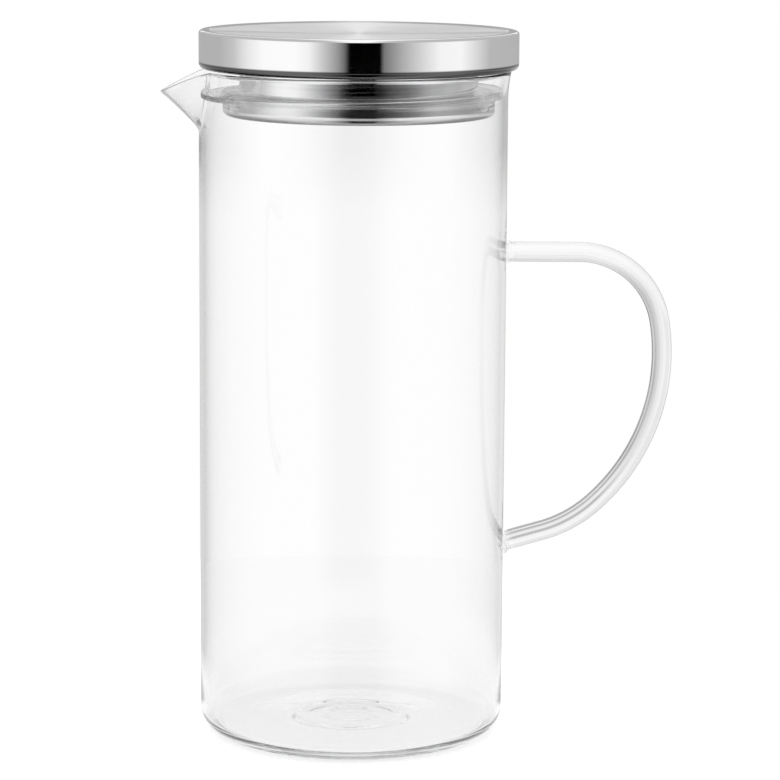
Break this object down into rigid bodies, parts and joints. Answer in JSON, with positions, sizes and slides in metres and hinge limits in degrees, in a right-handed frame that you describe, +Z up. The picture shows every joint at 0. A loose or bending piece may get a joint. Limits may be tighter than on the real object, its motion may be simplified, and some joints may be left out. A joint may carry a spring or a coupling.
{
  "type": "glass pitcher with lid",
  "caption": "Tall straight clear glass pitcher with a pulled pouring spout, a bent glass rod handle and a lift-off round steel lid sealed by a soft translucent ring.",
  "frame": {"origin": "centre of the foot, on the axis of the glass wall, in the plane it stands on", "axes": "+Z up along the axis of the glass, +X towards the handle, so the spout points along -X"},
  "size_m": [0.1669, 0.1034, 0.231],
  "materials": {
    "clear_glass": "clear blown borosilicate glass, fire-polished",
    "handle_glass": "clear drawn glass rod",
    "silicone": "translucent silicone, satin",
    "cover_steel": "stainless steel, top spun-brushed, side polished",
    "liner_steel": "polished stainless steel",
    "pan_steel": "polished stainless steel"
  },
  "bodies": {
    "jug": {"glass_body": "clear_glass", "handle": "handle_glass"},
    "seal": {"seal_ring": "silicone"},
    "lid": {"lid_cap": "cover_steel", "lid_liner": "liner_steel", "lid_pan": "pan_steel"}
  },
  "joints": [
    {"name": "lid_lift", "type": "slide", "parent": "jug", "child": "seal", "axis": [0, 0, 1], "range_m": [0, 0.06]},
    {"name": "lid_turn", "type": "hinge", "parent": "seal", "child": "lid", "pos_m": [0.0017, 0, 0.2188], "axis": [0, 0, 1], "continuous": true}
  ]
}
